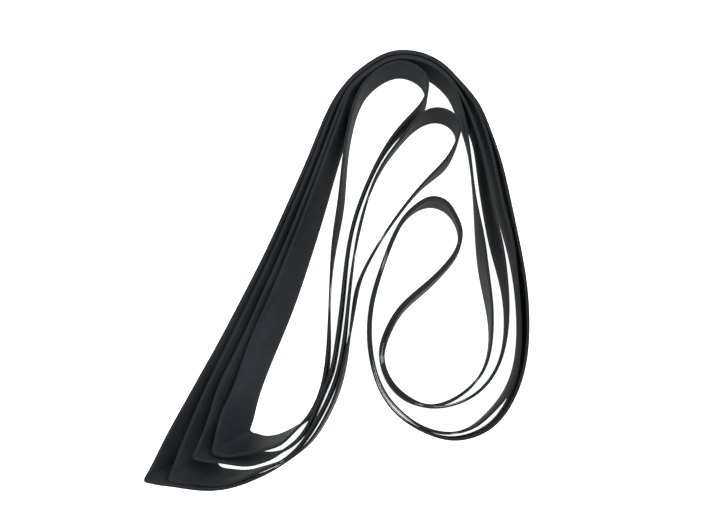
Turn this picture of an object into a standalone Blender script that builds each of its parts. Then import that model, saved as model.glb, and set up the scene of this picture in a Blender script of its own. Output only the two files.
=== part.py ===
"""Endless flat transmission belt, laid down for storage: it stands on one edge, folded in
long bights side by side. The belt is a laminate, and every ply is an endless band of its own.

The route of the belt is drawn once, as a closed line at the middle of its thickness. The
lower edge follows it on the ground. The upper edge follows the same line moved sideways,
because the bights on the left lean over. Each ply is a band between those two edges.
"""

import math

import bmesh
import bpy
import numpy as np

MM = 0.001

# ---- driving dimensions, in millimetres ----
BELT_WIDTH = 40.0           # from the lower edge to the upper edge
COVER = 0.6                 # rubber on each face
FABRIC = 0.3                # woven ply under each cover
TENSION = 0.3               # cord ply in the middle
BOND = 0.1                  # bond line between two plies
BELT_THICKNESS = 2 * COVER + 2 * FABRIC + TENSION + 4 * BOND
FACE_GAP = 0.3              # left between two strands that touch
STRAND_PITCH = BELT_THICKNESS + FACE_GAP
MOST_LEAN = 21.0            # sideways reach of the upper edge where the belt lies over most

# ---- how finely the bands are divided ----
TURN_PER_STATION = math.radians(18)
LENGTH_PER_STATION = 110.0
FINE_STEPS = 24             # points read from the curve between two route points
FOLD_REACH = 16.0           # along the belt; closer than this is the same bend, not a neighbour
SETTLE_ROUNDS = 200
SETTLE_SHARE = 0.6          # share of the missing distance made up in one round
SETTLED = 0.001             # millimetres of missing distance that don't matter
KNOT_POWER = 0.75           # how the curve spends itself on long and short stretches
SHARPEST_MITRE = 0.7        # keeps the outer side of a tight fold from running away

# ---- route, in millimetres on the ground; the numbers after x and y are the lean ----
# Left flank: foot of the innermost strand, and the step out to each next one.
FLANK = [(8, 155, 4.8), (-5, 105, 5.7), (-18, 56, 6.7), (-33, 4, 7.7), (-49, -46, 9.0),
         (-68, -95, 10.6), (-82, -137, 15)]
FLANK_TOP = 155
FLANK_OUT = (-0.93, 0.36)   # the way the flank leans
FLANK_LEAN_START = 5.0
FLANK_LEAN_RISE = 0.077     # more lean for each millimetre down the flank
FIRST_SHORT_FLANK = 2       # from this strand outwards the corner begins a point earlier

# Crown: four strands pass over it face to face.
CROWN = [(13, 175, -2, 1), (30, 194), (52, 206), (74, 206), (94, 197), (109, 182)]
CROWN_CENTRE = (62, 150)

# Folded corners at the foot of the flank, innermost first. The third number is how far the
# upper edge still moves out for each millimetre down the flank.
CORNERS = [(-88, -163, 0.18), (-107, -168, 0.40), (-128, -188, 0.36), (-152, -189, 0.50)]
CORNER_TIP = (-29, -20)     # where the two straight sides of the upper edge would meet
CORNER_RUN = (0.97, -0.2)   # the way the upper edge leaves the corner
FOLD_RADIUS = 2.2
# Foot seen from the corner, then how far the upper edge is from the tip.
CORNER_DOWN = [(2, 8, 24), (0.5, 3.5, 8)]
CORNER_FOLD = [(0, 0.5), (0.4, -0.3), (1, -1)]
CORNER_ACROSS = [(3.5, -2.5, 8), (6, -3, 12.5)]

# Runs from the corners to the middle strands, their lean dying away.
RUN_4 = [(-75, -168, -14, -15), (-66, -168, -4, -11), (-58, -166, -1, -10),
         (-49, -162, -1, -9), (-40, -157, 0, -4)]
RUN_3 = [(-92, -180, -14, -12), (-79, -184, -6, -10), (-68, -185, -2, -6),
         (-60, -184, 0, -3), (-51, -181), (-40, -173)]
RUN_2 = [(-117, -197, -15, -13), (-106, -200, -9, -11), (-95, -201, -5, -8),
         (-84, -200, -2, -4), (-73, -197, -1, -2), (-60, -193), (-48, -186), (-38, -177)]
RUN_1 = [(-139, -197, -17, -16), (-127, -203, -11, -12), (-113, -207, -6, -9),
         (-98, -208, -3, -6), (-83, -207, -1, -2), (-70, -203), (-60, -198), (-49, -191),
         (-38, -183)]

# Middle strands, with the two long bights between them.
STRAND_A = [(-30, -150), (-18, -127), (-12, -96), (-12, -60, 2), (-12, -24, 3), (-7, 19),
            (0, 59, -2), (3, 100, -1), (8, 140)]
BIGHT_1 = [(20, 177), (35, 194), (56, 204), (74, 200), (86, 188), (87, 172), (79, 156)]
STRAND_B1 = [(60, 138, 2, -1), (42, 115, 3, -2), (27, 84, 3, -1), (14, 46, 2, -1), (7, 7, 1),
             (3, -40), (-2, -82), (-7, -108), (-17, -133), (-28, -158)]
STRAND_B2 = [(-28, -164), (-15, -141), (-4, -115), (3, -84), (6, -51, 1), (10, -7, 2),
             (16, 36, 4, -1), (27, 75, 4, -1), (42, 106, 4, -2), (58, 128, 4, -2)]
BIGHT_2 = [(77, 147, 2), (95, 154), (111, 149), (119, 135), (115, 118)]
STRAND_C = [(106, 102), (84, 83, 3, -2), (62, 58, 4, -2), (43, 31, 4, -2), (27, 4, 5, -1),
            (16, -22, 5), (12, -46, 4), (9, -74, 2), (6, -98), (0, -123), (-11, -149),
            (-26, -172)]

# Right side: four strands, innermost first.
RIGHT_1 = [(101, -136, 0, 2), (124, -123, -2, 2), (140, -103, -3, 1), (147, -74, -3), (145, -44),
           (139, -10, 3), (136, 25, 2), (135, 57, -3), (133, 94, -5), (129, 124, -4),
           (121, 153, -1)]
RIGHT_2 = [(126, 157), (136, 131, -1), (141, 93, 3), (146, 53, 4), (152, 18, 5), (161, -20),
           (164, -56, -3), (156, -98, -4), (133, -127, -2, 1), (106, -139, 0, 1)]
RIGHT_3 = [(142, -146, -1, 1), (160, -124, -1), (171, -96, -3), (175, -59, -4), (173, -17, -4),
           (167, 19, -1), (158, 56), (151, 96), (142, 134), (132, 160)]
RIGHT_4 = [(137, 159), (148, 132), (158, 99), (166, 59), (173, 19), (178, -15), (180, -55),
           (177, -97, -1), (167, -127, -1), (150, -152, -1)]

# Tongue: two strands side by side round the small loop on the right. The third number is
# half the step between them, the fourth the lean away from the loop's middle.
TONGUE = [(61, -148, 2.5), (44, -129, 2.2), (33, -102, 1.8), (29, -72, 1.6), (31, -39, 1.6, -1),
          (39, -8, 1.6, -2), (48, 19, 1.5, -3), (60, 44, 1.5, -4), (73, 57, 1.5, -4),
          (89, 63, 1.5, -2), (104, 59, 1.5, -2), (115, 47, 1.5, -4), (120, 29, 1.5, -3),
          (115, 11, 1.5, -1), (104, -4, 1.6), (84, -24, 1.8), (60, -46, 2), (46, -70, 2.4),
          (41, -91, 2.2)]

# Ground turns under the tongue, innermost first.
TURN_1 = [(50, -114), (68, -131), (85, -137)]
TURN_2 = [(86, -140), (65, -134), (47, -117)]
TURN_3 = [(80, -158, 0, 1), (103, -164, 0, 2), (125, -159, 0, 2)]
TURN_4 = [(129, -165), (106, -169), (82, -163)]

# ---- looks: colour, roughness ----
RUBBER = ((0.030, 0.034, 0.038), 0.55)
WEAVE = ((0.16, 0.15, 0.13), 0.85)
CORD = ((0.42, 0.38, 0.30), 0.75)


# ---------------------------------------------------------------------------
# Route
# ---------------------------------------------------------------------------

def row(x, y, lean_x=0.0, lean_y=0.0):
    return (x, y, lean_x, lean_y)


def strand(points):
    """Rows of a strand that stands upright, or leans by its third and fourth numbers."""
    return [row(*point) for point in points]


def flank(place):
    """Left flank of the strand at this place, 0 for the innermost, from the crown down."""
    rows = []
    for x, y, step in FLANK[:-1] if place >= FIRST_SHORT_FLANK else FLANK:
        lean = min(MOST_LEAN, FLANK_LEAN_START + FLANK_LEAN_RISE * (FLANK_TOP - y))
        rows.append(row(x - place * step, y, FLANK_OUT[0] * lean, FLANK_OUT[1] * lean))
    return rows


def crown(place):
    """Crown of the strand at this place, from left to right."""
    rows = []
    for x, y, *lean in CROWN:
        out_x = x - CROWN_CENTRE[0]
        out_y = y - CROWN_CENTRE[1]
        grow = 1 + place * STRAND_PITCH / math.hypot(out_x, out_y)
        rows.append(row(CROWN_CENTRE[0] + out_x * grow, CROWN_CENTRE[1] + out_y * grow, *lean))
    return rows


def corner(place):
    """Fold at the foot of the flank, from the flank to the run."""
    foot_x, foot_y, slope = CORNERS[place]
    foot = np.array((foot_x, foot_y), float)
    tip = foot + CORNER_TIP
    up_flank = np.array((slope, 1)) / math.hypot(slope, 1)
    along_run = np.array(CORNER_RUN) / math.hypot(*CORNER_RUN)
    half = math.acos(up_flank @ along_run) / 2
    middle = (up_flank + along_run) / np.linalg.norm(up_flank + along_run)
    straight = FOLD_RADIUS / math.tan(half)
    folded = [tip + up_flank * straight,
              tip + middle * (FOLD_RADIUS / math.sin(half) - FOLD_RADIUS),
              tip + along_run * straight]
    places = [((x, y), tip + up_flank * far) for x, y, far in CORNER_DOWN]
    places += list(zip(CORNER_FOLD, folded))
    places += [((x, y), tip + along_run * far) for x, y, far in CORNER_ACROSS]
    return [row(*(foot + seen), *(upper - foot - seen)) for seen, upper in places]


def tongue(side):
    """One of the two strands round the small loop: side 1 outside, side -1 inside."""
    rows = []
    last = len(TONGUE) - 1
    for i, point in enumerate(TONGUE):
        before = TONGUE[max(i - 1, 0)]
        after = TONGUE[min(i + 1, last)]
        along = np.array([after[0] - before[0], after[1] - before[1]], float)
        along /= np.hypot(*along)
        out = np.array([-along[1], along[0]])
        place = np.array(point[:2]) + out * point[2] * side
        lean = out * (point[3] if len(point) > 3 else 0.0)
        rows.append(row(*place, *lean))
    return rows


def back(rows):
    return rows[::-1]


def whole_route():
    """The belt from the foot of the right side all the way round to where it began."""
    legs = [strand(RIGHT_1), back(crown(0)), flank(0), corner(0), strand(RUN_4),
            strand(STRAND_A), strand(BIGHT_1), strand(STRAND_B1),
            back(strand(RUN_3)), back(corner(1)), back(flank(1)), crown(1), strand(RIGHT_2),
            strand(TURN_2), back(tongue(-1)), strand(TURN_3), strand(RIGHT_3),
            back(crown(2)), flank(2), corner(2), strand(RUN_2),
            strand(STRAND_B2), strand(BIGHT_2), strand(STRAND_C),
            back(strand(RUN_1)), back(corner(3)), back(flank(3)), crown(3), strand(RIGHT_4),
            strand(TURN_4), tongue(1), strand(TURN_1)]
    return np.array([point for leg in legs for point in leg], float)


# ---------------------------------------------------------------------------
# Smooth curve and stations
# ---------------------------------------------------------------------------

def smooth(rows):
    """Closed cubic curve with even curvature through the rows, read at many points."""
    count = len(rows)
    nxt = np.roll(rows, -1, axis=0)
    span = np.linalg.norm((nxt - rows)[:, :2], axis=1) ** KNOT_POWER
    matrix = np.zeros((count, count))
    right = np.zeros_like(rows)
    for i in range(count):
        before = span[i - 1]
        after = span[i]
        following = (i + 1) % count
        matrix[i, i - 1] += before
        matrix[i, i] += 2 * (before + after)
        matrix[i, following] += after
        right[i] = 6 * ((rows[following] - rows[i]) / after - (rows[i] - rows[i - 1]) / before)
    bend = np.linalg.solve(matrix, right)
    points = []
    for i in range(count):
        following = (i + 1) % count
        for step in range(FINE_STEPS):
            b = step / FINE_STEPS
            a = 1 - b
            curve = (a ** 3 - a) * bend[i] + (b ** 3 - b) * bend[following]
            points.append(a * rows[i] + b * rows[following] + curve * span[i] ** 2 / 6)
    return np.array(points)


def turning(points):
    """How much a closed line turns at each of its points, in radians."""
    along = np.roll(points, -1, axis=0) - points
    heading = np.arctan2(along[:, 1], along[:, 0])
    change = np.roll(heading, -1) - heading
    return np.abs((change + math.pi) % (2 * math.pi) - math.pi)


def stations(fine):
    """Fewer points, close together in the bends and far apart on the straights."""
    foot = fine[:, :2]
    upper = foot + fine[:, 2:]
    turn = np.maximum(turning(foot), turning(upper))
    length = np.linalg.norm(np.roll(foot, -1, axis=0) - foot, axis=1)
    cost = turn / TURN_PER_STATION + length / LENGTH_PER_STATION
    total = np.concatenate(([0.0], np.cumsum(cost)))
    count = math.ceil(total[-1])
    wanted = np.arange(count) * total[-1] / count
    chosen = np.minimum(np.searchsorted(total, wanted), len(fine) - 1)
    return fine[chosen]


def settle(points, need):
    """Push the strands of a closed line apart until each keeps its distance."""
    points = points.copy()
    every = np.arange(len(points))
    for _ in range(SETTLE_ROUNDS):
        along = np.roll(points, -1, axis=0) - points
        squares = (along ** 2).sum(axis=1)
        lengths = np.sqrt(squares)
        start = np.concatenate(([0.0], np.cumsum(lengths)[:-1]))
        offset = points[:, None] - points[None]
        share = np.clip((offset * along[None]).sum(axis=2) / squares[None], 0, 1)
        apart = np.abs(start[:, None] - start[None] - share * lengths[None])
        apart = np.minimum(apart, lengths.sum() - apart)
        away = points[:, None] - points[None] - share[..., None] * along[None]
        distance = np.linalg.norm(away, axis=2)
        wanted = np.maximum(need[:, None], need[None])
        short = np.where((apart > FOLD_REACH) & (distance < wanted), wanted - distance, 0)
        if short.max() < SETTLED:
            break
        push = 0.5 * short[..., None] * away / np.maximum(distance, 1e-6)[..., None]
        worst = short.argmax(axis=1)
        move = push[every, worst]
        for j in np.flatnonzero(short.max(axis=0)):
            i = short[:, j].argmax()
            move[j] -= push[i, j] * (1 - share[i, j])
            move[(j + 1) % len(points)] -= push[i, j] * share[i, j]
        points += SETTLE_SHARE * move
    return points


def edge_lines():
    """Lower and upper edge of the belt at the middle of its thickness, station by station."""
    rows = stations(smooth(whole_route()))
    lean = np.minimum(np.hypot(rows[:, 2], rows[:, 3]), MOST_LEAN)
    height = np.sqrt(BELT_WIDTH ** 2 - lean ** 2)
    need = STRAND_PITCH * BELT_WIDTH / height
    foot = settle(rows[:, :2], need)
    upper = settle(rows[:, :2] + rows[:, 2:], need)
    return np.column_stack((foot, np.zeros(len(rows)))), np.column_stack((upper, height))


def face_normals(edge, across):
    """Way out of the belt's face along one of its edges, lengthened where the belt bends."""
    along = np.roll(edge, -1, axis=0) - edge
    along /= np.linalg.norm(along, axis=1)[:, None]
    normal = np.cross(along + np.roll(along, 1, axis=0), across)
    normal /= np.linalg.norm(normal, axis=1)[:, None]
    straight = np.cross(along, across)
    straight /= np.linalg.norm(straight, axis=1)[:, None]
    mitre = np.clip((normal * straight).sum(axis=1), SHARPEST_MITRE, 1)
    return normal / mitre[:, None]


# ---------------------------------------------------------------------------
# Plies
# ---------------------------------------------------------------------------

def make_material(name, colour, roughness):
    material = bpy.data.materials.new(name)
    material.use_nodes = True
    shader = material.node_tree.nodes["Principled BSDF"]
    shader.inputs["Base Color"].default_value = (*colour, 1)
    shader.inputs["Roughness"].default_value = roughness
    shader.inputs["Metallic"].default_value = 0.0
    material.diffuse_color = (*colour, 1)
    return material


def make_ply(name, depth, thickness, look):
    """Endless band of the laminate, its near face at this depth from the belt's back."""
    near = BELT_THICKNESS / 2 - depth
    far = near - thickness
    corners = [LOWER + LOWER_OUT * near, UPPER + UPPER_OUT * near,
               UPPER + UPPER_OUT * far, LOWER + LOWER_OUT * far]
    mesh_data = bmesh.new()
    lines = [[mesh_data.verts.new(point * MM) for point in corner_line] for corner_line in corners]
    count = len(LOWER)
    for side, line in enumerate(lines):
        other = lines[(side + 1) % len(lines)]
        # The near face is drawn upwards and the far face downwards, with the same crease.
        for i in range(count):
            j = (i + 1) % count
            if CREASE_RISES[i] == (side != 2):
                mesh_data.faces.new((line[i], line[j], other[j]))
                mesh_data.faces.new((line[i], other[j], other[i]))
            else:
                mesh_data.faces.new((line[i], line[j], other[i]))
                mesh_data.faces.new((line[j], other[j], other[i]))
    bmesh.ops.recalc_face_normals(mesh_data, faces=mesh_data.faces)
    mesh = bpy.data.meshes.new(name)
    mesh_data.to_mesh(mesh)
    mesh_data.free()
    mesh.materials.append(make_material(name + "_finish", *look))
    ply = bpy.data.objects.new(name, mesh)
    bpy.context.scene.collection.objects.link(ply)
    return ply


for thing in list(bpy.data.objects):
    bpy.data.objects.remove(thing)

LOWER, UPPER = edge_lines()
LEAN = np.linalg.norm((UPPER - LOWER)[:, :2], axis=1)
# Between two stations the face is creased from the foot of the more upright one to the
# upper edge of the one that leans more, in every ply, so that the plies stay apart.
CREASE_RISES = np.roll(LEAN, -1) > LEAN
LOWER_OUT = face_normals(LOWER, UPPER - LOWER)
UPPER_OUT = face_normals(UPPER, UPPER - LOWER)
# A leaning section would dip below the ground at one corner, so it is lifted by that much.
LIFT = np.abs(LOWER_OUT[:, 2]) * BELT_THICKNESS / 2
LOWER[:, 2] += LIFT
UPPER[:, 2] += LIFT

FABRIC_DEPTH = COVER + BOND
TENSION_DEPTH = FABRIC_DEPTH + FABRIC + BOND
DRIVE_FABRIC_DEPTH = TENSION_DEPTH + TENSION + BOND
DRIVE_COVER_DEPTH = DRIVE_FABRIC_DEPTH + FABRIC + BOND

make_ply("back_cover", 0.0, COVER, RUBBER)
make_ply("back_fabric_ply", FABRIC_DEPTH, FABRIC, WEAVE)
make_ply("tension_ply", TENSION_DEPTH, TENSION, CORD)
make_ply("drive_fabric_ply", DRIVE_FABRIC_DEPTH, FABRIC, WEAVE)
make_ply("drive_cover", DRIVE_COVER_DEPTH, COVER, RUBBER)
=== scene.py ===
# %% [markdown]
# # A folded flat transmission belt
# The real thing is one endless rubber belt with two smooth faces. It stands on its lower edge,
# folded in long bights side by side, as it would lie on a bench before it is fitted. The packed
# model already holds its five plies as coarse bands. This lesson keeps their places and builds
# the fine surface: the same route, read at about four times as many stations.

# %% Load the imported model
import math

import bmesh
import bpy
import numpy as np
from mathutils import Matrix, Vector


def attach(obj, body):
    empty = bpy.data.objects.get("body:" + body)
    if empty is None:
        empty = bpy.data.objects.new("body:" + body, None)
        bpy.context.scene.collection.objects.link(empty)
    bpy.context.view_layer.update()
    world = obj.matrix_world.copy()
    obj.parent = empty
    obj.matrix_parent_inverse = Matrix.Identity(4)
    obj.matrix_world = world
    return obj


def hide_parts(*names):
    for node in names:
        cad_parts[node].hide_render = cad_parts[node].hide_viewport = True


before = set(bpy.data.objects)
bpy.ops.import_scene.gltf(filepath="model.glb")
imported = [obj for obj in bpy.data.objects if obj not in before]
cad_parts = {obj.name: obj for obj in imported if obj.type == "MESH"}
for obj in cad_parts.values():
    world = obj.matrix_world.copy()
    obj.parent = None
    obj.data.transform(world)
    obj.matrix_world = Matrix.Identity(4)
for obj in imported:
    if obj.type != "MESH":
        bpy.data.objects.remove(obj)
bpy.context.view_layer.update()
MM = 0.001

# %% [markdown]
# ## Camera
# The belt is looked at from almost straight above, a little from the front, so that the inner
# faces of the leaning flank show. The camera could be turned with angles. It is easier to read
# as two places, where the eye is and what it looks at, with the picture's upper side kept
# square to the X axis.

# %% Place the camera
EYE = Vector((44, -133, 770)) * MM
AIM = Vector((18.6, 9.4, 0)) * MM
LENS = 38.5                 # millimetres
SENSOR_WIDTH = 36           # millimetres
NEAREST_SEEN = 0.01         # metres from the eye

camera = bpy.data.objects.new("camera", bpy.data.cameras.new("camera"))
bpy.context.scene.collection.objects.link(camera)
bpy.context.scene.camera = camera
camera.data.lens = LENS
camera.data.sensor_width = SENSOR_WIDTH
camera.data.clip_start = NEAREST_SEEN
look = (AIM - EYE).normalized()
picture_up = Vector((1, 0, 0)).cross(look).normalized()
picture_right = look.cross(picture_up)
turn = Matrix((picture_right, picture_up, -look)).transposed().to_4x4()
camera.matrix_world = Matrix.Translation(EYE) @ turn
print("camera looks down at", round(math.degrees(look.angle(Vector((0, 0, -1)))), 1), "degrees")

# %% [markdown]
# ## Floor and light
# The belt stands on a plain white surface under broad soft light. Two large area lights from
# above do the modelling and a white surround fills the rest, so that the rubber gets gentle
# gradients and no hard highlight. The surface also gives off light of its own, like a light
# table, so it stays white between the strands, where an ordinary floor would turn grey.

# %% Make the floor
FLOOR_SIZE = 6.0
FLOOR_DROP = 0.0002         # below the belt, so that the two surfaces don't share a plane
FLOOR_GLOW = 0.95           # light that the floor gives off by itself
PAPER_WHITE = (0.93, 0.93, 0.93, 1)

floor_mesh = bpy.data.meshes.new("floor")
floor_shape = bmesh.new()
bmesh.ops.create_grid(floor_shape, x_segments=2, y_segments=2, size=FLOOR_SIZE / 2)
bmesh.ops.translate(floor_shape, verts=floor_shape.verts, vec=(0, 0, -FLOOR_DROP))
floor_shape.to_mesh(floor_mesh)
floor_shape.free()
floor = bpy.data.objects.new("floor", floor_mesh)
bpy.context.scene.collection.objects.link(floor)

floor_paper = bpy.data.materials.new("white_paper")
floor_paper.use_nodes = True
paper_shader = floor_paper.node_tree.nodes["Principled BSDF"]
paper_shader.inputs["Base Color"].default_value = PAPER_WHITE
paper_shader.inputs["Roughness"].default_value = 0.9
paper_shader.inputs["Specular IOR Level"].default_value = 0.1
paper_shader.inputs["Emission Color"].default_value = (1, 1, 1, 1)
paper_shader.inputs["Emission Strength"].default_value = FLOOR_GLOW
floor_mesh.materials.append(floor_paper)

# %% Hang the lights
SURROUND = 1.0              # brightness of the white room
ROOM_WHITE = (0.97, 0.985, 1.0, 1)
KEY_PLACE = (0.7, 0.5, 1.3)
KEY_SIZE = 0.9
KEY_POWER = 16
FILL_PLACE = (-0.8, -0.7, 1.2)
FILL_SIZE = 1.2
FILL_POWER = 7

world = bpy.data.worlds.new("white_room")
world.use_nodes = True
room_light = world.node_tree.nodes["Background"]
room_light.inputs["Color"].default_value = ROOM_WHITE
room_light.inputs["Strength"].default_value = SURROUND
bpy.context.scene.world = world
bpy.context.scene.view_settings.view_transform = "Standard"


def hang_light(name, place, size, power):
    """Square soft light that faces the middle of the belt."""
    lamp = bpy.data.lights.new(name, "AREA")
    lamp.size = size
    lamp.energy = power
    holder = bpy.data.objects.new(name, lamp)
    bpy.context.scene.collection.objects.link(holder)
    holder.location = place
    holder.rotation_mode = "QUATERNION"
    holder.rotation_quaternion = (-Vector(place)).to_track_quat("-Z", "Y")
    return holder


lights = [hang_light("key_softbox", KEY_PLACE, KEY_SIZE, KEY_POWER),
          hang_light("fill_softbox", FILL_PLACE, FILL_SIZE, FILL_POWER)]
print("lights:", [light.name for light in lights])

# %% [markdown]
# ## Route of the belt
# The whole shape is one closed line: the middle of the belt's thickness, drawn on the ground in
# millimetres. A belt could be bent with a Curve modifier, but nested strands have to keep an
# exact distance, so the line is worked out as numbers first. Only the places that the shape
# needs are listed. The four flank strands, the four passes over the crown, the four corners and
# the two sides of the tongue follow from one list each.

# %% Sizes of the belt
BELT_WIDTH = 40.0
COVER = 0.6
FABRIC = 0.3
TENSION = 0.3
BOND = 0.1
BELT_THICKNESS = 2 * COVER + 2 * FABRIC + TENSION + 4 * BOND
FACE_GAP = 0.3
STRAND_PITCH = BELT_THICKNESS + FACE_GAP
MOST_LEAN = 21.0

# %% Places along the route
# ---- route, in millimetres on the ground; the numbers after x and y are the lean ----
# Left flank: foot of the innermost strand, and the step out to each next one.
FLANK = [(8, 155, 4.8), (-5, 105, 5.7), (-18, 56, 6.7), (-33, 4, 7.7), (-49, -46, 9.0),
         (-68, -95, 10.6), (-82, -137, 15)]
FLANK_TOP = 155
FLANK_OUT = (-0.93, 0.36)   # the way the flank leans
FLANK_LEAN_START = 5.0
FLANK_LEAN_RISE = 0.077     # more lean for each millimetre down the flank
FIRST_SHORT_FLANK = 2       # from this strand outwards the corner begins a point earlier

# Crown: four strands pass over it face to face.
CROWN = [(13, 175, -2, 1), (30, 194), (52, 206), (74, 206), (94, 197), (109, 182)]
CROWN_CENTRE = (62, 150)

# Folded corners at the foot of the flank, innermost first. The third number is how far the
# upper edge still moves out for each millimetre down the flank.
CORNERS = [(-88, -163, 0.18), (-107, -168, 0.40), (-128, -188, 0.36), (-152, -189, 0.50)]
CORNER_TIP = (-29, -20)     # where the two straight sides of the upper edge would meet
CORNER_RUN = (0.97, -0.2)   # the way the upper edge leaves the corner
FOLD_RADIUS = 2.2
# Foot seen from the corner, then how far the upper edge is from the tip.
CORNER_DOWN = [(2, 8, 24), (0.5, 3.5, 8)]
CORNER_FOLD = [(0, 0.5), (0.4, -0.3), (1, -1)]
CORNER_ACROSS = [(3.5, -2.5, 8), (6, -3, 12.5)]

# Runs from the corners to the middle strands, their lean dying away.
RUN_4 = [(-75, -168, -14, -15), (-66, -168, -4, -11), (-58, -166, -1, -10),
         (-49, -162, -1, -9), (-40, -157, 0, -4)]
RUN_3 = [(-92, -180, -14, -12), (-79, -184, -6, -10), (-68, -185, -2, -6),
         (-60, -184, 0, -3), (-51, -181), (-40, -173)]
RUN_2 = [(-117, -197, -15, -13), (-106, -200, -9, -11), (-95, -201, -5, -8),
         (-84, -200, -2, -4), (-73, -197, -1, -2), (-60, -193), (-48, -186), (-38, -177)]
RUN_1 = [(-139, -197, -17, -16), (-127, -203, -11, -12), (-113, -207, -6, -9),
         (-98, -208, -3, -6), (-83, -207, -1, -2), (-70, -203), (-60, -198), (-49, -191),
         (-38, -183)]

# Middle strands, with the two long bights between them.
STRAND_A = [(-30, -150), (-18, -127), (-12, -96), (-12, -60, 2), (-12, -24, 3), (-7, 19),
            (0, 59, -2), (3, 100, -1), (8, 140)]
BIGHT_1 = [(20, 177), (35, 194), (56, 204), (74, 200), (86, 188), (87, 172), (79, 156)]
STRAND_B1 = [(60, 138, 2, -1), (42, 115, 3, -2), (27, 84, 3, -1), (14, 46, 2, -1), (7, 7, 1),
             (3, -40), (-2, -82), (-7, -108), (-17, -133), (-28, -158)]
STRAND_B2 = [(-28, -164), (-15, -141), (-4, -115), (3, -84), (6, -51, 1), (10, -7, 2),
             (16, 36, 4, -1), (27, 75, 4, -1), (42, 106, 4, -2), (58, 128, 4, -2)]
BIGHT_2 = [(77, 147, 2), (95, 154), (111, 149), (119, 135), (115, 118)]
STRAND_C = [(106, 102), (84, 83, 3, -2), (62, 58, 4, -2), (43, 31, 4, -2), (27, 4, 5, -1),
            (16, -22, 5), (12, -46, 4), (9, -74, 2), (6, -98), (0, -123), (-11, -149),
            (-26, -172)]

# Right side: four strands, innermost first.
RIGHT_1 = [(101, -136, 0, 2), (124, -123, -2, 2), (140, -103, -3, 1), (147, -74, -3), (145, -44),
           (139, -10, 3), (136, 25, 2), (135, 57, -3), (133, 94, -5), (129, 124, -4),
           (121, 153, -1)]
RIGHT_2 = [(126, 157), (136, 131, -1), (141, 93, 3), (146, 53, 4), (152, 18, 5), (161, -20),
           (164, -56, -3), (156, -98, -4), (133, -127, -2, 1), (106, -139, 0, 1)]
RIGHT_3 = [(142, -146, -1, 1), (160, -124, -1), (171, -96, -3), (175, -59, -4), (173, -17, -4),
           (167, 19, -1), (158, 56), (151, 96), (142, 134), (132, 160)]
RIGHT_4 = [(137, 159), (148, 132), (158, 99), (166, 59), (173, 19), (178, -15), (180, -55),
           (177, -97, -1), (167, -127, -1), (150, -152, -1)]

# Tongue: two strands side by side round the small loop on the right. The third number is
# half the step between them, the fourth the lean away from the loop's middle.
TONGUE = [(61, -148, 2.5), (44, -129, 2.2), (33, -102, 1.8), (29, -72, 1.6), (31, -39, 1.6, -1),
          (39, -8, 1.6, -2), (48, 19, 1.5, -3), (60, 44, 1.5, -4), (73, 57, 1.5, -4),
          (89, 63, 1.5, -2), (104, 59, 1.5, -2), (115, 47, 1.5, -4), (120, 29, 1.5, -3),
          (115, 11, 1.5, -1), (104, -4, 1.6), (84, -24, 1.8), (60, -46, 2), (46, -70, 2.4),
          (41, -91, 2.2)]

# Ground turns under the tongue, innermost first.
TURN_1 = [(50, -114), (68, -131), (85, -137)]
TURN_2 = [(86, -140), (65, -134), (47, -117)]
TURN_3 = [(80, -158, 0, 1), (103, -164, 0, 2), (125, -159, 0, 2)]
TURN_4 = [(129, -165), (106, -169), (82, -163)]

# %% [markdown]
# Each short function turns one list into rows of four numbers: the place on the ground, and how
# far the upper edge leans sideways from it. Nested strands are the same list moved outwards by
# the step between strands.

# %% Turn the lists into rows
def row(x, y, lean_x=0.0, lean_y=0.0):
    return (x, y, lean_x, lean_y)


def strand(points):
    """Rows of a strand that stands upright, or leans by its third and fourth numbers."""
    return [row(*point) for point in points]


def flank(place):
    """Left flank of the strand at this place, 0 for the innermost, from the crown down."""
    rows = []
    for x, y, step in FLANK[:-1] if place >= FIRST_SHORT_FLANK else FLANK:
        lean = min(MOST_LEAN, FLANK_LEAN_START + FLANK_LEAN_RISE * (FLANK_TOP - y))
        rows.append(row(x - place * step, y, FLANK_OUT[0] * lean, FLANK_OUT[1] * lean))
    return rows


def crown(place):
    """Crown of the strand at this place, from left to right."""
    rows = []
    for x, y, *lean in CROWN:
        out_x = x - CROWN_CENTRE[0]
        out_y = y - CROWN_CENTRE[1]
        grow = 1 + place * STRAND_PITCH / math.hypot(out_x, out_y)
        rows.append(row(CROWN_CENTRE[0] + out_x * grow, CROWN_CENTRE[1] + out_y * grow, *lean))
    return rows


def corner(place):
    """Fold at the foot of the flank, from the flank to the run."""
    foot_x, foot_y, slope = CORNERS[place]
    foot = np.array((foot_x, foot_y), float)
    tip = foot + CORNER_TIP
    up_flank = np.array((slope, 1)) / math.hypot(slope, 1)
    along_run = np.array(CORNER_RUN) / math.hypot(*CORNER_RUN)
    half = math.acos(up_flank @ along_run) / 2
    middle = (up_flank + along_run) / np.linalg.norm(up_flank + along_run)
    straight = FOLD_RADIUS / math.tan(half)
    folded = [tip + up_flank * straight,
              tip + middle * (FOLD_RADIUS / math.sin(half) - FOLD_RADIUS),
              tip + along_run * straight]
    places = [((x, y), tip + up_flank * far) for x, y, far in CORNER_DOWN]
    places += list(zip(CORNER_FOLD, folded))
    places += [((x, y), tip + along_run * far) for x, y, far in CORNER_ACROSS]
    return [row(*(foot + seen), *(upper - foot - seen)) for seen, upper in places]


def tongue(side):
    """One of the two strands round the small loop: side 1 outside, side -1 inside."""
    rows = []
    last = len(TONGUE) - 1
    for i, point in enumerate(TONGUE):
        before = TONGUE[max(i - 1, 0)]
        after = TONGUE[min(i + 1, last)]
        along = np.array([after[0] - before[0], after[1] - before[1]], float)
        along /= np.hypot(*along)
        out = np.array([-along[1], along[0]])
        place = np.array(point[:2]) + out * point[2] * side
        lean = out * (point[3] if len(point) > 3 else 0.0)
        rows.append(row(*place, *lean))
    return rows


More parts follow.
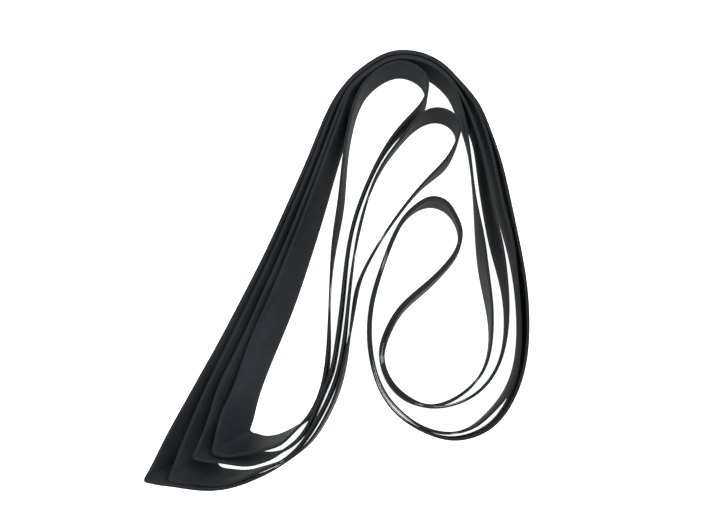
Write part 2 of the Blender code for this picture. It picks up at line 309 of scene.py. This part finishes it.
def back(rows):
    return rows[::-1]


def whole_route():
    """The belt from the foot of the right side all the way round to where it began."""
    legs = [strand(RIGHT_1), back(crown(0)), flank(0), corner(0), strand(RUN_4),
            strand(STRAND_A), strand(BIGHT_1), strand(STRAND_B1),
            back(strand(RUN_3)), back(corner(1)), back(flank(1)), crown(1), strand(RIGHT_2),
            strand(TURN_2), back(tongue(-1)), strand(TURN_3), strand(RIGHT_3),
            back(crown(2)), flank(2), corner(2), strand(RUN_2),
            strand(STRAND_B2), strand(BIGHT_2), strand(STRAND_C),
            back(strand(RUN_1)), back(corner(3)), back(flank(3)), crown(3), strand(RIGHT_4),
            strand(TURN_4), tongue(1), strand(TURN_1)]
    return np.array([point for leg in legs for point in leg], float)


def smooth(rows):
    """Closed cubic curve with even curvature through the rows, read at many points."""
    count = len(rows)
    nxt = np.roll(rows, -1, axis=0)
    span = np.linalg.norm((nxt - rows)[:, :2], axis=1) ** KNOT_POWER
    matrix = np.zeros((count, count))
    right = np.zeros_like(rows)
    for i in range(count):
        before = span[i - 1]
        after = span[i]
        following = (i + 1) % count
        matrix[i, i - 1] += before
        matrix[i, i] += 2 * (before + after)
        matrix[i, following] += after
        right[i] = 6 * ((rows[following] - rows[i]) / after - (rows[i] - rows[i - 1]) / before)
    bend = np.linalg.solve(matrix, right)
    points = []
    for i in range(count):
        following = (i + 1) % count
        for step in range(FINE_STEPS):
            b = step / FINE_STEPS
            a = 1 - b
            curve = (a ** 3 - a) * bend[i] + (b ** 3 - b) * bend[following]
            points.append(a * rows[i] + b * rows[following] + curve * span[i] ** 2 / 6)
    return np.array(points)


def turning(points):
    """How much a closed line turns at each of its points, in radians."""
    along = np.roll(points, -1, axis=0) - points
    heading = np.arctan2(along[:, 1], along[:, 0])
    change = np.roll(heading, -1) - heading
    return np.abs((change + math.pi) % (2 * math.pi) - math.pi)


belt_rows = whole_route()
print("route points:", len(belt_rows))

# %% [markdown]
# ## Stations
# The smooth line is read at stations, close together in the bends. The plies in the packed
# model turn 18 degrees between stations; here it is 7, so that the bends look round. Then the
# strands are pushed apart until each keeps its distance to the next, as real strands do that
# lie face to face.

# %% Read the stations and settle the strands
FINE_STEPS = 24             # points read from the curve between two route points
KNOT_POWER = 0.75           # how the curve spends itself on long and short stretches
TURN_PER_STATION = math.radians(7)
LENGTH_PER_STATION = 14.0
FOLD_REACH = 16.0           # along the belt; closer than this is the same bend
SETTLE_ROUNDS = 200
SETTLE_SHARE = 0.6          # share of the missing distance made up in one round
SETTLED = 0.001             # millimetres of missing distance that don't matter


def stations(fine):
    """Fewer points, close together in the bends and far apart on the straights."""
    foot = fine[:, :2]
    upper = foot + fine[:, 2:]
    turn = np.maximum(turning(foot), turning(upper))
    length = np.linalg.norm(np.roll(foot, -1, axis=0) - foot, axis=1)
    cost = turn / TURN_PER_STATION + length / LENGTH_PER_STATION
    total = np.concatenate(([0.0], np.cumsum(cost)))
    count = math.ceil(total[-1])
    wanted = np.arange(count) * total[-1] / count
    chosen = np.minimum(np.searchsorted(total, wanted), len(fine) - 1)
    return fine[chosen]


def settle(points, need):
    """Push the strands of a closed line apart until each keeps its distance."""
    points = points.copy()
    every = np.arange(len(points))
    for _ in range(SETTLE_ROUNDS):
        along = np.roll(points, -1, axis=0) - points
        squares = (along ** 2).sum(axis=1)
        lengths = np.sqrt(squares)
        start = np.concatenate(([0.0], np.cumsum(lengths)[:-1]))
        offset = points[:, None] - points[None]
        share = np.clip((offset * along[None]).sum(axis=2) / squares[None], 0, 1)
        apart = np.abs(start[:, None] - start[None] - share * lengths[None])
        apart = np.minimum(apart, lengths.sum() - apart)
        away = points[:, None] - points[None] - share[..., None] * along[None]
        distance = np.linalg.norm(away, axis=2)
        wanted = np.maximum(need[:, None], need[None])
        short = np.where((apart > FOLD_REACH) & (distance < wanted), wanted - distance, 0)
        if short.max() < SETTLED:
            break
        push = 0.5 * short[..., None] * away / np.maximum(distance, 1e-6)[..., None]
        worst = short.argmax(axis=1)
        move = push[every, worst]
        for j in np.flatnonzero(short.max(axis=0)):
            i = short[:, j].argmax()
            move[j] -= push[i, j] * (1 - share[i, j])
            move[(j + 1) % len(points)] -= push[i, j] * share[i, j]
        points += SETTLE_SHARE * move
    return points


stops = stations(smooth(belt_rows))
lean = np.minimum(np.hypot(stops[:, 2], stops[:, 3]), MOST_LEAN)
upper_height = np.sqrt(BELT_WIDTH ** 2 - lean ** 2)
keep_apart = STRAND_PITCH * BELT_WIDTH / upper_height
ground_line = settle(stops[:, :2], keep_apart)
upper_line = settle(stops[:, :2] + stops[:, 2:], keep_apart)
print("stations:", len(stops))

# %% [markdown]
# ## The two edges and the way out of the face
# With the lower and the upper edge known, any place in the belt is a mix of the two edges plus
# a step along the face's normal. A leaning section is lifted so that its lowest corner just
# touches the ground.

# %% Edges and normals
SHARPEST_MITRE = 0.7        # keeps the outer side of a tight fold from running away


def face_normals(edge, across):
    """Way out of the belt's face along one of its edges, lengthened where the belt bends."""
    along = np.roll(edge, -1, axis=0) - edge
    along /= np.linalg.norm(along, axis=1)[:, None]
    normal = np.cross(along + np.roll(along, 1, axis=0), across)
    normal /= np.linalg.norm(normal, axis=1)[:, None]
    straight = np.cross(along, across)
    straight /= np.linalg.norm(straight, axis=1)[:, None]
    mitre = np.clip((normal * straight).sum(axis=1), SHARPEST_MITRE, 1)
    return normal / mitre[:, None]


lower_edge = np.column_stack((ground_line, np.zeros(len(stops))))
upper_edge = np.column_stack((upper_line, upper_height))
lower_out = face_normals(lower_edge, upper_edge - lower_edge)
upper_out = face_normals(upper_edge, upper_edge - lower_edge)
lift = np.abs(lower_out[:, 2]) * BELT_THICKNESS / 2
lower_edge[:, 2] += lift
upper_edge[:, 2] += lift
mid_edge = (lower_edge + upper_edge) / 2
step_lengths = np.linalg.norm(np.roll(mid_edge, -1, axis=0) - mid_edge, axis=1)
along_belt = np.concatenate(([0.0], np.cumsum(step_lengths)))
print("belt length in mm:", round(along_belt[-1]))

# %% [markdown]
# ## Making one ply
# A ply is an endless band. It starts as a closed wire of vertices along its lower edge, and
# the wire is extruded upwards row by row, which makes the face. Solidify then gives the band
# its thickness and Bevel rounds the cut edges. An integer layer on the vertices remembers the
# station, because an extrusion copies it, so every new vertex knows where it belongs.
#
# The UV map is the belt laid out flat, in metres: along the belt, and up from the lower edge.
# All patterns use it, so streaks and weave follow the belt round every bend.

# %% Build a band
FLAT_MAP = "flat_belt"      # name of the UV map
ROWS_ACROSS = 8
ROUNDING_STEPS = 2
SQUARE_CORNER = math.radians(50)    # an edge sharper than this is a cut edge


def place_on_belt(station, share, depth):
    """Point at this station, this share of the way up, this deep under the belt's back."""
    step_out = BELT_THICKNESS / 2 - depth
    low = lower_edge[station] + lower_out[station] * step_out
    high = upper_edge[station] + upper_out[station] * step_out
    return Vector(low + (high - low) * share) * MM


def build_band(name, depth, thickness, inset, rounding):
    """Endless ply, its cut edges this far inside the belt's own edges."""
    shape = bmesh.new()
    station_of = shape.verts.layers.int.new("station")
    row_of = shape.verts.layers.int.new("row")
    shares = np.linspace(inset / BELT_WIDTH, 1 - inset / BELT_WIDTH, ROWS_ACROSS + 1)
    count = len(stops)
    wire = []
    for station in range(count):
        vertex = shape.verts.new(place_on_belt(station, shares[0], depth))
        vertex[station_of] = station
        wire.append(vertex)
    rim = [shape.edges.new((wire[i], wire[(i + 1) % count])) for i in range(count)]
    for row_number in range(1, ROWS_ACROSS + 1):
        grown = bmesh.ops.extrude_edge_only(shape, edges=rim)["geom"]
        for vertex in grown:
            if isinstance(vertex, bmesh.types.BMVert):
                vertex.co = place_on_belt(vertex[station_of], shares[row_number], depth)
                vertex[row_of] = row_number
        rim = [edge for edge in grown if isinstance(edge, bmesh.types.BMEdge)
               and all(vertex[row_of] == row_number for vertex in edge.verts)]
    lay_flat_map(shape, station_of, row_of, shares)
    mesh = bpy.data.meshes.new(name)
    shape.to_mesh(mesh)
    shape.free()
    mesh.shade_smooth()
    band = bpy.data.objects.new(name, mesh)
    bpy.context.scene.collection.objects.link(band)
    give_thickness(band, thickness, rounding)
    return band


def lay_flat_map(shape, station_of, row_of, shares):
    """UV map of the belt laid out flat, in metres."""
    flat = shape.loops.layers.uv.new(FLAT_MAP)
    count = len(stops)
    for face in shape.faces:
        seam = max(corner.vert[station_of] for corner in face.loops) == count - 1
        for corner in face.loops:
            station = corner.vert[station_of]
            at_end = seam and station == 0
            length = along_belt[-1] if at_end else along_belt[station]
            corner[flat].uv = (length * MM, shares[corner.vert[row_of]] * BELT_WIDTH * MM)


def give_thickness(band, thickness, rounding):
    """Solidify inwards from the near face, then round the four long edges."""
    wall = band.modifiers.new("wall", "SOLIDIFY")
    wall.thickness = thickness * MM
    wall.offset = -1
    wall.use_even_offset = True
    if rounding:
        edge = band.modifiers.new("rounded_edges", "BEVEL")
        edge.width = rounding * MM
        edge.segments = ROUNDING_STEPS
        edge.limit_method = "ANGLE"
        edge.angle_limit = SQUARE_CORNER


# %% [markdown]
# ## The five plies
# From the back: a rubber cover, a woven ply, the cord ply that carries the pull, a second woven
# ply, and the cover that runs on the pulleys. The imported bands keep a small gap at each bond.
# Here every ply fills most of that gap, because the real ones are bonded. The woven plies and
# the cords end a little inside the cut edge, as they do where the rubber has smeared over them
# when the belt was slit.

# %% Build the plies
BOND_LINE = 0.02            # what is left to see of a bond
COVER_ROUNDING = 0.14
CORE_INSET = 0.08

FABRIC_DEPTH = COVER + BOND
TENSION_DEPTH = FABRIC_DEPTH + FABRIC + BOND
DRIVE_FABRIC_DEPTH = TENSION_DEPTH + TENSION + BOND
DRIVE_COVER_DEPTH = DRIVE_FABRIC_DEPTH + FABRIC + BOND
GROW = (BOND - BOND_LINE) / 2

back_rubber = build_band("back_rubber", 0.0, COVER + GROW, 0.0, COVER_ROUNDING)
back_weave = build_band("back_weave", FABRIC_DEPTH - GROW, FABRIC + 2 * GROW, CORE_INSET, 0)
pull_cords = build_band("pull_cords", TENSION_DEPTH - GROW, TENSION + 2 * GROW, CORE_INSET, 0)
drive_weave = build_band("drive_weave", DRIVE_FABRIC_DEPTH - GROW, FABRIC + 2 * GROW,
                         CORE_INSET, 0)
drive_rubber = build_band("drive_rubber", DRIVE_COVER_DEPTH - GROW, COVER + GROW, 0.0,
                          COVER_ROUNDING)
print("plies:", [ply.name for ply in (back_rubber, back_weave, pull_cords, drive_weave,
                                      drive_rubber)])

# %% [markdown]
# ## Node helpers
# The finishes are made of nodes. Two helpers keep the cells short: one adds a node with its
# values, and one makes a shader group with named sockets.

# %% Helpers for nodes
def add(tree, kind, **settings):
    """Node of this kind, with its own settings."""
    node = tree.nodes.new(kind)
    for key, value in settings.items():
        setattr(node, key, value)
    return node


def wire_up(tree, source, target):
    tree.links.new(source, target)


def new_group(name, inputs, outputs):
    """Shader group with its sockets, and its two end nodes."""
    group = bpy.data.node_groups.new(name, "ShaderNodeTree")
    for socket_name, socket_type, value in inputs:
        socket = group.interface.new_socket(socket_name, in_out="INPUT",
                                            socket_type=socket_type)
        if value is not None:
            socket.default_value = value
    for socket_name, socket_type in outputs:
        group.interface.new_socket(socket_name, in_out="OUTPUT", socket_type=socket_type)
    return group, add(group, "NodeGroupInput"), add(group, "NodeGroupOutput")


def maths(tree, operation, first, second=None, clamp=False):
    """Math node between sockets or plain numbers; gives its output."""
    node = add(tree, "ShaderNodeMath", operation=operation, use_clamp=clamp)
    for slot_number, value in enumerate((first, second)):
        if value is None:
            continue
        if isinstance(value, (int, float)):
            node.inputs[slot_number].default_value = value
        else:
            wire_up(tree, value, node.inputs[slot_number])
    return node.outputs[0]


def remap(tree, value, low, high, new_low, new_high):
    """Map Range node with plain limits; gives its output."""
    node = add(tree, "ShaderNodeMapRange", clamp=True, interpolation_type="SMOOTHSTEP")
    wire_up(tree, value, node.inputs["Value"])
    node.inputs["From Min"].default_value = low
    node.inputs["From Max"].default_value = high
    node.inputs["To Min"].default_value = new_low
    node.inputs["To Max"].default_value = new_high
    return node.outputs["Result"]


def noise(tree, vector, stretch, detail=3.0, roughness=0.55):
    """Noise in coordinates stretched by three numbers; gives its grey output."""
    mapping = add(tree, "ShaderNodeMapping")
    mapping.inputs["Scale"].default_value = stretch
    wire_up(tree, vector, mapping.inputs["Vector"])
    texture = add(tree, "ShaderNodeTexNoise")
    texture.inputs["Scale"].default_value = 1.0
    texture.inputs["Detail"].default_value = detail
    texture.inputs["Roughness"].default_value = roughness
    wire_up(tree, mapping.outputs["Vector"], texture.inputs["Vector"])
    return texture.outputs["Fac"]


def mix_colour(tree, factor, first, second):
    """Mix of two colours, each a socket or four numbers; gives its output."""
    node = add(tree, "ShaderNodeMix", data_type="RGBA")
    wire_up(tree, factor, node.inputs["Factor"])
    for socket, value in ((node.inputs[6], first), (node.inputs[7], second)):
        if isinstance(value, tuple):
            socket.default_value = value
        else:
            wire_up(tree, value, socket)
    return node.outputs[2]


# %% [markdown]
# ## Calendered rubber
# The covers were rolled out between smooth cylinders. That leaves long faint streaks along the
# belt, cloudy patches where the surface has bloomed, and a grain too fine to see one by one.
# Both covers use the effect with their own values, so it is a group. Each pattern is noise
# stretched by three numbers: few features along the belt and many across it make a streak.

# %% Group for calendered rubber
STREAK_STRETCH = (7, 900, 1)
CLOUD_STRETCH = (16, 16, 30)
GRAIN_STRETCH = (2600, 2600, 1)
DUST_STRETCH = (900, 1300, 1)
STREAK_RELIEF = 0.6         # share of the streaks in the height; the grain has the rest


def make_rubber_group():
    group, given, result = new_group(
        "calendered_rubber",
        [("Flat", "NodeSocketVector", None), ("Place", "NodeSocketVector", None),
         ("Deep Colour", "NodeSocketColor", (0.02, 0.02, 0.02, 1)),
         ("Bloom Colour", "NodeSocketColor", (0.05, 0.05, 0.05, 1)),
         ("Streaks", "NodeSocketFloat", 0.3), ("Roughness", "NodeSocketFloat", 0.5)],
        [("Colour", "NodeSocketColor"), ("Roughness", "NodeSocketFloat"),
         ("Height", "NodeSocketFloat")])
    streaks = noise(group, given.outputs["Flat"], STREAK_STRETCH, detail=4)
    clouds = noise(group, given.outputs["Place"], CLOUD_STRETCH, detail=3)
    grain = noise(group, given.outputs["Flat"], GRAIN_STRETCH, detail=2)
    dust = noise(group, given.outputs["Flat"], DUST_STRETCH, detail=2, roughness=0.7)
    streak_share = maths(group, "MULTIPLY", maths(group, "SUBTRACT", streaks, 0.5),
                         given.outputs["Streaks"])
    cloud_share = remap(group, clouds, 0.35, 0.7, 0.1, 0.8)
    specks = remap(group, dust, 0.72, 0.8, 0.0, 0.35)
    bloom = maths(group, "ADD", maths(group, "ADD", cloud_share, streak_share), specks,
                  clamp=True)
    wire_up(group, mix_colour(group, bloom, given.outputs["Deep Colour"],
                              given.outputs["Bloom Colour"]), result.inputs["Colour"])
    rough = maths(group, "ADD", given.outputs["Roughness"],
                  maths(group, "MULTIPLY", maths(group, "SUBTRACT", clouds, 0.5), 0.25))
    rough = maths(group, "ADD", rough, maths(group, "MULTIPLY", streak_share, 0.3))
    wire_up(group, rough, result.inputs["Roughness"])
    height = maths(group, "ADD", maths(group, "MULTIPLY", streaks, STREAK_RELIEF),
                   maths(group, "MULTIPLY", grain, 1 - STREAK_RELIEF))
    wire_up(group, height, result.inputs["Height"])
    return group


calendered_rubber = make_rubber_group()
print("group:", calendered_rubber.name)

# %% [markdown]
# ## Cut edges
# The belt was slit to width from a wider sleeve. A slit edge is duller than the face, and its
# colour is painted lighter along both cut edges as a painted highlight. The mask below is one
# within a fraction of a millimetre of either edge and fades over the next, broken up so that it
# isn't a line drawn with a ruler.

# %% Group for the cut edges
BREAKUP_STRETCH = (60, 60, 1)


def make_edge_group():
    group, given, result = new_group(
        "slit_edge",
        [("Flat", "NodeSocketVector", None), ("Colour", "NodeSocketColor", (0, 0, 0, 1)),
         ("Rubbed Colour", "NodeSocketColor", (0.1, 0.1, 0.1, 1)),
         ("Roughness", "NodeSocketFloat", 0.5), ("Strength", "NodeSocketFloat", 0.7),
         ("Reach", "NodeSocketFloat", 0.0009)],
        [("Colour", "NodeSocketColor"), ("Roughness", "NodeSocketFloat")])
    parts = add(group, "ShaderNodeSeparateXYZ")
    wire_up(group, given.outputs["Flat"], parts.inputs[0])
    from_top = maths(group, "SUBTRACT", BELT_WIDTH * MM, parts.outputs["Y"])
    nearest = maths(group, "MINIMUM", parts.outputs["Y"], from_top)
    breakup = noise(group, given.outputs["Flat"], BREAKUP_STRETCH, detail=5)
    share = maths(group, "DIVIDE", nearest, given.outputs["Reach"])
    share = maths(group, "ADD", share, maths(group, "MULTIPLY", breakup, 0.9))
    # mask: where the painted highlight colour goes, near both cut edges
    mask = maths(group, "MULTIPLY", remap(group, share, 0.35, 1.3, 1.0, 0.0),
                 given.outputs["Strength"], clamp=True)
    wire_up(group, mix_colour(group, mask, given.outputs["Colour"],
                              given.outputs["Rubbed Colour"]), result.inputs["Colour"])
    rough = maths(group, "ADD", given.outputs["Roughness"],
                  maths(group, "MULTIPLY", mask, 0.25), clamp=True)
    wire_up(group, rough, result.inputs["Roughness"])
    return group


slit_edge = make_edge_group()
print("group:", slit_edge.name)

# %% [markdown]
# ## Weave and cords
# Only the ends of the inner plies show, along the cut edges, but a peeled belt would show all
# of them. The woven plies are a plain weave of fine threads, dark with rubber. The cord ply is
# a row of cords that run along the belt, held side by side by a looser binding thread.

# %% Group for threads in rubber
FIBRE_STRETCH = (500, 2500, 1)
WEAVE_RELIEF = 0.4          # share of the weave in the height; the fibres have the rest


def make_thread_group():
    group, given, result = new_group(
        "threads_in_rubber",
        [("Flat", "NodeSocketVector", None),
         ("Threads Along", "NodeSocketFloat", 1200.0),
         ("Threads Across", "NodeSocketFloat", 1200.0),
         ("Rubber Colour", "NodeSocketColor", (0.02, 0.02, 0.02, 1)),
         ("Thread Colour", "NodeSocketColor", (0.1, 0.1, 0.1, 1))],
        [("Colour", "NodeSocketColor"), ("Roughness", "NodeSocketFloat"),
         ("Height", "NodeSocketFloat")])
    parts = add(group, "ShaderNodeSeparateXYZ")
    wire_up(group, given.outputs["Flat"], parts.inputs[0])
    waves = []
    for axis, rate in (("X", "Threads Along"), ("Y", "Threads Across")):
        angle = maths(group, "MULTIPLY", parts.outputs[axis], given.outputs[rate])
        angle = maths(group, "MULTIPLY", angle, 2 * math.pi)
        waves.append(maths(group, "SINE", angle))
    crossing = maths(group, "MULTIPLY", waves[0], waves[1])
    fibres = noise(group, given.outputs["Flat"], FIBRE_STRETCH, detail=4)
    height = maths(group, "ADD", maths(group, "MULTIPLY", crossing, WEAVE_RELIEF),
                   maths(group, "MULTIPLY", fibres, 1 - WEAVE_RELIEF))
    wire_up(group, height, result.inputs["Height"])
    show = remap(group, height, 0.1, 0.7, 0.15, 0.85)
    wire_up(group, mix_colour(group, show, given.outputs["Rubber Colour"],
                              given.outputs["Thread Colour"]), result.inputs["Colour"])
    wire_up(group, remap(group, fibres, 0.3, 0.7, 0.7, 0.95), result.inputs["Roughness"])
    return group


threads_in_rubber = make_thread_group()
print("group:", threads_in_rubber.name)

# %% [markdown]
# ## Finishes
# Each material keeps its own Principled shader and takes the varying colour, roughness and
# height from the groups. The drive cover has been polished a little by its pulleys, and the
# back cover is duller and more bloomed.

# %% Materials of the covers
BUMP_HEIGHT = 0.00003       # metres
COVER_BUMP = 0.5
THREAD_BUMP = 0.8
THREAD_SPECULAR = 0.2
# colour of the painted highlight along both cut edges
PAINTED_EDGE_HIGHLIGHT = (0.0250, 0.0285, 0.0322, 1)
PLY_RUBBER = (0.006, 0.007, 0.008, 1)


def start_material(name):
    """New material with its shader and the two coordinates that all finishes use."""
    material = bpy.data.materials.new(name)
    material.use_nodes = True
    tree = material.node_tree
    flat = add(tree, "ShaderNodeUVMap", uv_map=FLAT_MAP)
    place = add(tree, "ShaderNodeTexCoord")
    shader = tree.nodes["Principled BSDF"]
    return material, tree, shader, flat.outputs["UV"], place.outputs["Object"]


def use_group(tree, group, **values):
    """Group node with plain values set on its sockets; underscores stand for spaces."""
    node = add(tree, "ShaderNodeGroup")
    node.node_tree = group
    for key, value in values.items():
        node.inputs[key.replace("_", " ")].default_value = value
    return node


def bump_from(tree, height, shader, strength):
    """Fine relief from a height, on the shader's normal."""
    bump = add(tree, "ShaderNodeBump")
    bump.inputs["Strength"].default_value = strength
    bump.inputs["Distance"].default_value = BUMP_HEIGHT
    wire_up(tree, height, bump.inputs["Height"])
    wire_up(tree, bump.outputs["Normal"], shader.inputs["Normal"])


def cover_material(name, deep, bloom, streaks, roughness, specular):
    """Calendered rubber with duller cut edges and a painted highlight along them."""
    material, tree, shader, flat, place = start_material(name)
    rubber = use_group(tree, calendered_rubber, Deep_Colour=deep, Bloom_Colour=bloom,
                       Streaks=streaks, Roughness=roughness)
    wire_up(tree, flat, rubber.inputs["Flat"])
    wire_up(tree, place, rubber.inputs["Place"])
    # the cut edges get a painted highlight colour and a duller finish
    edge = use_group(tree, slit_edge, Rubbed_Colour=PAINTED_EDGE_HIGHLIGHT)
    wire_up(tree, flat, edge.inputs["Flat"])
    wire_up(tree, rubber.outputs["Colour"], edge.inputs["Colour"])
    wire_up(tree, rubber.outputs["Roughness"], edge.inputs["Roughness"])
    wire_up(tree, edge.outputs["Colour"], shader.inputs["Base Color"])
    wire_up(tree, edge.outputs["Roughness"], shader.inputs["Roughness"])
    bump_from(tree, rubber.outputs["Height"], shader, COVER_BUMP)
    shader.inputs["Specular IOR Level"].default_value = specular
    return material


back_finish = cover_material("back_cover_rubber", deep=(0.0105, 0.0128, 0.0152, 1),
                             bloom=(0.0220, 0.0256, 0.0294, 1), streaks=0.35,
                             roughness=0.74, specular=0.07)
drive_finish = cover_material("drive_cover_rubber", deep=(0.0098, 0.0120, 0.0144, 1),
                              bloom=(0.0205, 0.0240, 0.0276, 1), streaks=0.45,
                              roughness=0.70, specular=0.09)
print("cover finishes:", back_finish.name, drive_finish.name)

# %% Materials of the inner plies
def thread_material(name, along, across, thread_colour):
    """Threads in rubber, with this many threads to the metre each way."""
    material, tree, shader, flat, _ = start_material(name)
    threads = use_group(tree, threads_in_rubber, Threads_Along=along, Threads_Across=across,
                        Rubber_Colour=PLY_RUBBER, Thread_Colour=thread_colour)
    wire_up(tree, flat, threads.inputs["Flat"])
    wire_up(tree, threads.outputs["Colour"], shader.inputs["Base Color"])
    wire_up(tree, threads.outputs["Roughness"], shader.inputs["Roughness"])
    bump_from(tree, threads.outputs["Height"], shader, THREAD_BUMP)
    shader.inputs["Specular IOR Level"].default_value = THREAD_SPECULAR
    return material


weave_finish = thread_material("woven_ply", 1100, 1300, (0.020, 0.021, 0.022, 1))
cord_finish = thread_material("cord_ply", 350, 900, (0.030, 0.030, 0.029, 1))
print("inner finishes:", weave_finish.name, cord_finish.name)

# %% [markdown]
# ## Putting it on the frame
# The belt has no joints, so everything rides on the one body. Each fine ply stands for its own
# packed band. The belt is the object itself and not a cord, a sheet or a padded piece, so
# nothing is declared as one.

# %% Ride, replace and put on the finishes
for ply, node, slot, finish in (
        (back_rubber, "back_cover", "cover_rubber", back_finish),
        (back_weave, "back_fabric_ply", "ply_fabric", weave_finish),
        (pull_cords, "tension_ply", "tension_cord", cord_finish),
        (drive_weave, "drive_fabric_ply", "ply_fabric", weave_finish),
        (drive_rubber, "drive_cover", "cover_rubber", drive_finish)):
    ply.data.materials.append(finish)
    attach(ply, "root")
    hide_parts(node)
